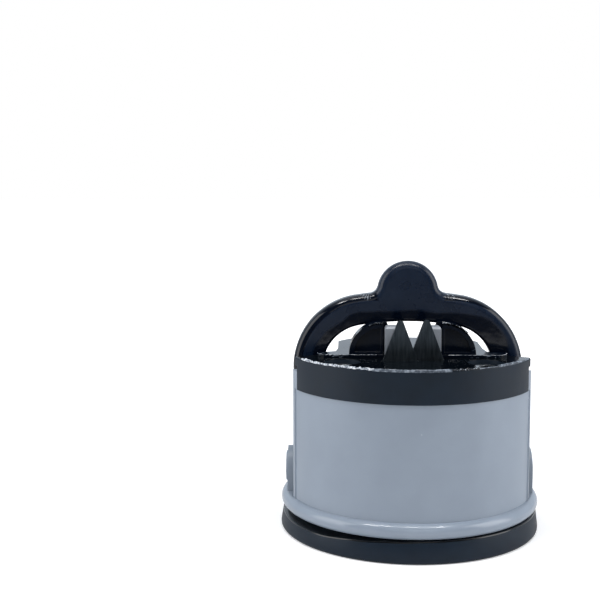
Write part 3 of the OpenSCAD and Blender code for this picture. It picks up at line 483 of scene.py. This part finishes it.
finishes = {
    # Moulded ABS: an eroded mould gives even satin walls with wide soft highlights
    "housing": mouldedPlastic("mouldedGreyAbs", "housing", beadZone),  # its flange shines
    "inner": mouldedPlastic("mouldedDarkGreyAbs", "inner"),  # matt all over
    "cover": mouldedPlastic("mouldedBlackAbs", "cover", topZone),  # a mirror-like top painted darker as shade, over a satin skirt
    "lever": mouldedPlastic("mouldedGlossBlackAbs", "lever", leverZone),  # a polished band painted darker as shade, a satin tab, painted glints at the tab's roots
    "guide": mouldedPlastic("polishedBlackAbs", "guide"),  # deep black with small sharp highlights
    "holder": mouldedPlastic("mouldedLightGreyAbs", "holder"),  # pale satin behind the dark blades
    # Moulded acetal: milky white, slippery and never quite glossy
    "white": mouldedPlastic("mouldedNaturalAcetal", "white"),
    # Metals: plating is bright and even, drawn steel is streaked along X, dull ground carbide along Z
    "zinc": workedMetal("zincPlatedSteel", "zinc", (1, 1, 1)),
    "steel": workedMetal("drawnSteel", "steel", (0.05, 1, 1)),
    "carbide": workedMetal("groundTungstenCarbide", "carbide", (1, 1, 0.12)),
    # Soft vinyl: a dark satin foot, with a wet-looking shine where its mould was polished, painted
    # near-black there as the shade in the gap under the flange
    "rubber": mouldedVinyl("mouldedSoftVinyl", "foot"),
    "rubberTopShaded": mouldedVinyl("polishedSoftVinylShaded", "rimTop"),
    # Torn ABS: pale where stretched far, and along the edges also painted highlight; pale, grey, and dark
    # with bright flecks that are painted glints
    "tornPaleHighlight": tornPlastic("paleTornAbsHighlight", "pale"),
    "tornGreyHighlight": tornPlastic("greyTornAbsHighlight", "grey"),
    "tornDarkGlints": tornPlastic("darkTornAbsGlints", "dark"),
}
finishOf = {
    "housing": "housing", "base_plate": "inner", "base_screws": "zinc", "front_cover": "cover",
    "cover_screws": "zinc", "guide": "guide", "guide_screws": "zinc", "blade_holder": "holder",
    "left_blade": "carbide", "right_blade": "carbide", "clamp_screw": "zinc", "clamp_nut": "zinc",
    "lever": "lever", "lever_axle": "steel", "axle_cap": "housing", "lift_cam": "white",
    "lift_yoke": "white", "yoke_screws": "zinc", "foot_disc": "white", "return_springs": "steel",
    "suction_foot": "rubber",
}
for name, piece in cad.items():
    for index in range(len(piece.material_slots)):
        piece.material_slots[index].material = finishes[finishOf[name]]
print("finishes set")


# Pieces that Blender makes
weldWithin = 0.001 * mm


def makePiece(name, points, faces, materials, faceMaterial=None, sharp=35):  # a closed mesh piece
    mesh = bpy.data.meshes.new(name)
    mesh.from_pydata(points, [], faces)
    for material in materials:
        mesh.materials.append(material)
    if faceMaterial:
        mesh.polygons.foreach_set("material_index", faceMaterial)
    work = bmesh.new()
    work.from_mesh(mesh)
    bmesh.ops.remove_doubles(work, verts=work.verts, dist=weldWithin)  # points on the axis meet in one
    bmesh.ops.delete(work, geom=[e for e in work.edges if not e.link_faces], context="EDGES")
    bmesh.ops.recalc_face_normals(work, faces=work.faces)
    work.to_mesh(mesh)
    work.free()
    mesh.polygons.foreach_set("use_smooth", [True] * len(mesh.polygons))
    mesh.set_sharp_from_angle(angle=math.radians(sharp))
    mesh.update()
    piece = bpy.data.objects.new(name, mesh)
    scene.collection.objects.link(piece)
    return piece


def around(angle, radius, height):  # a place on a circle, by degrees from the front towards the left
    turn = math.radians(angle)
    return (-radius * math.sin(turn), -radius * math.cos(turn), height)


def ease(share):  # 0 to 1 with a soft start and end
    return share * share * (3 - 2 * share)


def joinRings(rings, perRing, first=0):  # faces between rings of points that follow each other
    faces = []
    for ring in range(rings - 1):
        for k in range(perRing):
            a, b = first + ring * perRing + k, first + ring * perRing + (k + 1) % perRing
            faces.append((a, a + perRing, b + perRing, b))
    return faces


def revolve(profileAt, start, end, count):  # points and faces of a closed profile swept round the middle
    full = abs(end - start) >= 360
    rings = count if full else count + 1
    points, faces, sides = [], [], []
    for k in range(rings):
        angle = start + (end - start) * k / count
        profile = profileAt(angle)
        points += [around(angle, r, z) for r, z in profile]
    n = len(profile)
    for k in range(count):
        for side in range(n):
            a, b = k * n + side, k * n + (side + 1) % n
            c, d = ((k + 1) % rings) * n + (side + 1) % n, ((k + 1) % rings) * n + side
            faces.append((a, b, c, d))
            sides.append(side)
    if not full:
        faces += [tuple(range(n))[::-1], tuple(range(count * n, count * n + n))]
        sides += [0, 0]
    return points, faces, sides


# Vinyl foot: its rim droops away from the flange at the left, and its middle follows the lift
foot = {
    "radius": 30.995 * mm, "cornerRadius": 0.9 * mm, "cornerSteps": 6, "topRadius": 30.5 * mm,
    "height": flangeUnder, "edge": 0.3 * mm, "edgeBend": 0.3,
    "shoulder": 1.2 * mm, "shoulderDrop": 0.02 * mm, "neckOut": 25.55 * mm, "neckIn": 24.6 * mm,
    "neckTop": 7.08 * mm, "lipIn": 23.2 * mm, "lipLow": 6.2 * mm,
    "webOut": 22.0 * mm, "webOutTop": 4.4 * mm, "webBend": 18.1 * mm, "dome": 1.1 * mm,
    "collarOut": 14.2 * mm, "collarTop": 4.8 * mm, "collarLip": 12.5 * mm,
    "discOut": discHigh[0], "discUnder": discLow[2], "discTop": discHigh[2],
    "droop": ((-30, 0.0), (-5, 0.05), (10, 0.30), (25, 0.75), (45, 1.40), (65, 1.45), (85, 1.05),
              (125, 0.25), (165, 0.0)),  # degrees from the front towards the left, and millimetres down
    "ringParts": 240, "glossySides": 6, "middleParts": 96, "sectors": 8, "sectorParts": 12, "webSteps": 8,
}


def droopAt(angle):  # how far the rim hangs down, degrees from the front towards the left
    angle = (angle + 180) % 360 - 180
    knots = foot["droop"]
    if angle <= knots[0][0] or angle >= knots[-1][0]:
        return 0.0
    for (a, low), (b, high) in zip(knots, knots[1:]):
        if angle <= b:
            return (low + (high - low) * ease((angle - a) / (b - a))) * mm


def makeFoot():
    corner, r = foot["cornerRadius"], foot["radius"]
    neckIn, neckOut, neckTop = foot["neckIn"], foot["neckOut"], foot["neckTop"]
    # the underside falls from the dome's height at the bend to the worktop at the neck
    webLow = foot["dome"] * (neckIn - foot["webOut"]) / (neckIn - foot["webBend"])

    def rim(angle):
        top, edge = foot["height"] - droopAt(angle), foot["edge"]
        bend = foot["edgeBend"] * edge
        turns = [math.radians(90 * k / foot["cornerSteps"]) for k in range(foot["cornerSteps"] + 1)]
        bottom = [(r - corner + corner * math.sin(t), corner - corner * math.cos(t)) for t in turns]
        upper = [(foot["topRadius"], top - edge), (foot["topRadius"] - bend, top - bend),
                 (foot["topRadius"] - edge, top)]
        shoulder = foot["height"] - foot["shoulderDrop"]
        inner = [(neckOut + foot["shoulder"], shoulder), (neckOut, shoulder), (neckOut, neckTop),
                 (foot["lipIn"], neckTop), (foot["lipIn"], foot["lipLow"]), (neckIn, foot["lipLow"]),
                 (neckIn, foot["height"]), (foot["webOut"], foot["webOutTop"])]
        return [(foot["webOut"], webLow), (neckIn, 0.0)] + bottom + upper + inner

    points, faces, sides = revolve(rim, 0, 360, foot["ringParts"])
    firstGlossy = foot["cornerSteps"] + 3  # the rim's edge above its outer wall, and the top up to the neck, painted near-black as shade
    glossy = range(firstGlossy, firstGlossy + foot["glossySides"])
    ring = makePiece("footRing", points, faces, [finishes["rubber"], finishes["rubberTopShaded"]],
                     [1 if side in glossy else 0 for side in sides], sharp=40)
    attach(ring, "body")
    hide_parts("suction_foot")

    def middle(angle):
        return [(0.0, foot["dome"]), (foot["collarOut"], foot["dome"]),
                (foot["collarOut"], foot["collarTop"]), (foot["collarLip"], foot["collarTop"]),
                (foot["collarLip"], foot["discTop"]), (foot["discOut"], foot["discTop"]),
                (foot["discOut"], foot["discUnder"]), (0.0, foot["discUnder"])]

    points, faces, sides = revolve(middle, 0, 360, foot["middleParts"])
    centre = makePiece("footMiddle", points, faces, [finishes["rubber"]])
    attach(centre, "lift_set")
    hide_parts("suction_foot")

    def slope(at):  # 0 up to the bend, 1 at the web's outer end
        return max(0.0, (at - foot["webBend"]) / (foot["webOut"] - foot["webBend"]))

    def web(angle):
        inside, steps = foot["collarOut"], foot["webSteps"]
        run = [inside + (foot["webOut"] - inside) * k / steps for k in range(steps + 1)]
        low = [(at, foot["dome"] + (webLow - foot["dome"]) * slope(at)) for at in run]
        high = [(at, foot["discUnder"] + (foot["webOutTop"] - foot["discUnder"]) * slope(at)) for at in run]
        return low + high[::-1]

    wide = 360 / foot["sectors"]
    for k in range(foot["sectors"]):
        points, faces, sides = revolve(web, k * wide, (k + 1) * wide, foot["sectorParts"])
        part = makePiece("footWeb%d" % (k + 1), points, faces, [finishes["rubber"]])
        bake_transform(part)
        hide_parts("suction_foot")


makeFoot()
print("foot made")

# Return springs of round wire, between the disc and the bearing blocks
spring = {
    "low": discHigh[2], "high": 10.2 * mm, "radius": 2.0 * mm, "wire": 0.3 * mm, "lift": 3.0 * mm,
    "turns": 3.0, "flatTurns": 0.4, "easing": 0.25, "perTurn": 36, "wireSides": 12,
}
springSide = springsOut - spring["radius"] - spring["wire"]


def makeSpring(name, side):
    perTurn, wireSides, wire = spring["perTurn"], spring["wireSides"], spring["wire"]
    count = int(spring["turns"] * perTurn)
    flat = spring["flatTurns"] / spring["turns"]
    low, high = spring["low"] + wire, spring["high"] - wire
    points = []
    for k in range(count + 1):
        share = k / count
        rise = min(max((share - flat) / (1 - 2 * flat), 0.0), 1.0)
        rise = (1 - spring["easing"]) * rise + spring["easing"] * ease(rise)
        middle = low + (high - low) * rise
        turn = 2 * math.pi * spring["turns"] * share
        for s in range(wireSides):
            at = 2 * math.pi * s / wireSides
            out = spring["radius"] + wire * math.cos(at)
            points.append((side + out * math.cos(turn), out * math.sin(turn), middle + wire * math.sin(at)))
    faces = joinRings(count + 1, wireSides)
    faces += [tuple(range(wireSides)), tuple(range(count * wireSides, (count + 1) * wireSides))[::-1]]
    coil = makePiece(name, points, faces, [finishes["steel"]], sharp=60)
    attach(coil, "body")
    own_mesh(coil)
    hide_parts("return_springs")


makeSpring("springLeft", -springSide)
makeSpring("springRight", springSide)
print("springs made")

# Cover screws: their heads lie almost a millimetre down in the cover
screw = {
    "x": 16.04 * mm, "y": -18.26 * mm, "top": coverTop - 0.95 * mm, "head": 0.95 * mm, "radius": 3.55 * mm,
    "bevel": 0.3 * mm, "dome": 0.10 * mm, "shank": 1.45 * mm, "length": 8.45 * mm,
    "crossWidth": 0.95 * mm, "crossLength": 3.9 * mm, "crossDepth": 0.65 * mm, "slope": 0.16 * mm,
    "turn": 12, "rings": 30, "around": 120,  # degrees, and parts of the mesh
}


def makeScrew(name, side):
    turn = math.radians(side * screw["turn"])
    flat = screw["radius"] - screw["bevel"]

    def height(x, y):  # a slightly domed face with a cross recess
        rise = -screw["dome"] * (math.hypot(x, y) / flat) ** 2
        u, v = x * math.cos(turn) + y * math.sin(turn), y * math.cos(turn) - x * math.sin(turn)
        deep = 0.0
        for along, over in ((u, v), (v, u)):
            inside = min(screw["crossWidth"] / 2 - abs(over), screw["crossLength"] / 2 - abs(along))
            deep = max(deep, min(max(inside / screw["slope"], 0.0), 1.0))
        return rise - screw["crossDepth"] * deep

    rings = [(flat * (k + 1) / screw["rings"], None) for k in range(screw["rings"])]
    rings += [(screw["radius"], -screw["dome"] - screw["bevel"]), (screw["radius"], -screw["head"]),
              (screw["shank"], -screw["head"]), (screw["shank"], -screw["length"])]
    n = screw["around"]
    points = [(0, 0, height(0, 0))]
    for r, z in rings:
        for k in range(n):
            x, y = r * math.cos(2 * math.pi * k / n), r * math.sin(2 * math.pi * k / n)
            points.append((x, y, height(x, y) if z is None else z))
    points.append((0, 0, -screw["length"] - screw["shank"]))
    points = [(x + side * screw["x"], y + screw["y"], z + screw["top"]) for x, y, z in points]
    faces = [(0, 1 + k, 1 + (k + 1) % n) for k in range(n)] + joinRings(len(rings), n, first=1)
    last, tip = 1 + (len(rings) - 1) * n, len(points) - 1
    faces += [(last + k, tip, last + (k + 1) % n) for k in range(n)]
    piece = makePiece(name, points, faces, [finishes["zinc"]])
    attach(piece, "body")
    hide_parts("cover_screws")


makeScrew("coverScrewLeft", -1)
makeScrew("coverScrewRight", 1)
print("cover screws made")

# Moulding flash: thin torn ridges left along edges where the mould halves met. Angles are in degrees, from
# the front towards the left on the rim, and up from level on the guards. Least is the smallest random share
flash = {
    "rimLeft": {"from": 60, "to": 18.5, "width": 0.75 * mm, "height": 0.50 * mm, "drop": 0.30 * mm,
                "step": 0.40 * mm, "least": 0.35, "torn": "tornPaleHighlight", "seed": 3},
    "rimMiddle": {"from": 19, "to": -15, "width": 0.60 * mm, "height": 0.34 * mm, "drop": 0.45 * mm,
                  "step": 0.45 * mm, "least": 0.85, "torn": "tornGreyHighlight", "seed": 4},
    "rimSparkle": {"from": -15, "to": -28, "width": 0.70 * mm, "height": 0.42 * mm, "drop": 0.20 * mm,
                   "step": 0.35 * mm, "least": 0.25, "torn": "tornDarkGlints", "seed": 6},
    "rimThin": {"from": -28, "to": -39, "width": 0.40 * mm, "height": 0.18 * mm, "drop": 0.15 * mm,
                "step": 0.50 * mm, "least": 0.5, "torn": "tornGreyHighlight", "seed": 7},
    "rimPatch": {"from": -39, "to": -53, "width": 0.85 * mm, "height": 0.48 * mm, "drop": 0.25 * mm,
                 "step": 0.50 * mm, "least": 0.75, "torn": "tornGreyHighlight", "seed": 8},
    "rimEnd": {"from": -53, "to": -64, "width": 0.45 * mm, "height": 0.25 * mm, "drop": 0.20 * mm,
               "step": 0.50 * mm, "least": 0.6, "torn": "tornGreyHighlight", "seed": 10},
    "guardRight": {"from": 94, "to": 44, "width": 1.25 * mm, "height": 0.62 * mm, "drop": 0.45 * mm,
                   "step": 0.32 * mm, "least": 0.3, "torn": "tornDarkGlints", "seed": 5},
    "guardLeft": {"from": 94, "to": 68, "width": 1.05 * mm, "height": 0.55 * mm, "drop": 0.35 * mm,
                  "step": 0.32 * mm, "least": 0.3, "torn": "tornDarkGlints", "seed": 9},
    "ledge": {"width": 0.28 * mm, "height": 0.10 * mm, "drop": 0.04 * mm, "step": 0.5 * mm,
              "least": 0.4, "torn": "tornPaleHighlight", "seed": 13},
}
ragged = {  # shares of a ridge's width and height at the points of its section
    "outFoot": 0.1, "frontFoot": 0.9, "crestIn": 0.35, "backIn": 0.75, "backFoot": 0.05,
    "flank": (0.2, 0.6), "crest": (0.6, 1.0),  # drawn at random
    "gaps": 0.12, "gapWidth": 0.3, "gapHeight": 0.2,  # how often it is broken off, and what is left there
    "fewestSteps": 4,
}
rimAt = {"radius": 29.41 * mm, "z": coverTop - 0.04 * mm}
guardAt = {"x": 7.3 * mm, "z": 43.38 * mm, "radius": 7.3 * mm, "front": -11.8 * mm, "sunk": 0.03 * mm}
ledgeAt = {"front": -12.2 * mm, "half": guideHalf, "corner": 3.0 * mm, "cornerSteps": 8,
           "gapHalf": 8.2 * mm, "z": 43.38 * mm}
forwards, upwards = Vector((0, -1, 0)), Vector((0, 0, 1))


def raggedBead(name, route, facts):  # route: (point, way to the outside, way up) along the edge
    draw = random.Random(facts["seed"])
    points, faces = [], []
    for point, outside, up in route:
        width = facts["width"] * draw.uniform(facts["least"], 1.0)
        height = facts["height"] * draw.uniform(facts["least"], 1.0)
        drop = facts["drop"] * draw.uniform(facts["least"], 1.0)
        if draw.random() < ragged["gaps"] * (1 - facts["least"]):
            width, height = ragged["gapWidth"] * width, ragged["gapHeight"] * height
        section = [(-ragged["outFoot"] * width, -drop), (0, -ragged["frontFoot"] * drop),
                   (0, height * draw.uniform(*ragged["flank"])),
                   (-ragged["crestIn"] * width, height * draw.uniform(*ragged["crest"])),
                   (-ragged["backIn"] * width, height * draw.uniform(*ragged["flank"])),
                   (-width, -ragged["backFoot"] * height)]
        points += [tuple(point + outside * out + up * rise) for out, rise in section]
    n = len(section)
    for k in range(len(route) - 1):
        for s in range(n):
            a, b = k * n + s, k * n + (s + 1) % n
            faces.append((a, b, b + n, a + n))
    faces += [tuple(range(n))[::-1], tuple(range((len(route) - 1) * n, len(route) * n))]
    ridge = makePiece(name, points, faces, [finishes[facts["torn"]]], sharp=25)
    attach(ridge, "body")


def arcRoute(facts, radius, pointAt):  # places along an arc, about one step apart
    start, end = facts["from"], facts["to"]
    count = max(ragged["fewestSteps"], int(abs(math.radians(end - start)) * radius / facts["step"]))
    return [pointAt(start + (end - start) * k / count) for k in range(count + 1)]


def makeRimFlash(name):
    def pointAt(angle):
        return Vector(around(angle, rimAt["radius"], rimAt["z"])), Vector(around(angle, 1, 0)), upwards

    route = arcRoute(flash[name], rimAt["radius"], pointAt)
    raggedBead(name + "Flash", route, flash[name])


def makeGuardFlash(name, side):
    def pointAt(angle):
        turn = math.radians(angle)
        way = Vector((side * math.cos(turn), 0, math.sin(turn)))
        middle = Vector((side * guardAt["x"], guardAt["front"], guardAt["z"]))
        return middle + way * (guardAt["radius"] - guardAt["sunk"]), forwards, way

    route = arcRoute(flash[name], guardAt["radius"], pointAt)
    raggedBead(name + "Flash", route, flash[name])


def makeLedgeFlash(name, side):
    corner, steps = ledgeAt["corner"], ledgeAt["cornerSteps"]
    start, end = ledgeAt["gapHalf"], ledgeAt["half"] - corner
    count = int((end - start) / flash["ledge"]["step"])
    route = []
    for k in range(count + 1):
        x = start + (end - start) * k / count
        route.append((Vector((side * x, ledgeAt["front"], ledgeAt["z"])), forwards, upwards))
    middle = Vector((side * end, ledgeAt["front"] + corner, ledgeAt["z"]))
    for k in range(1, steps + 1):
        turn = math.radians(90 * k / steps)
        way = Vector((side * math.sin(turn), -math.cos(turn), 0))
        route.append((middle + way * corner, way, upwards))
    raggedBead(name + "Flash", route, flash["ledge"])


for name in flash:
    if name.startswith("rim"):
        makeRimFlash(name)
for name, side in (("guardRight", 1), ("guardLeft", -1)):
    makeGuardFlash(name, side)
for name, side in (("ledgeRight", 1), ("ledgeLeft", -1)):
    makeLedgeFlash(name, side)
print("flash made")
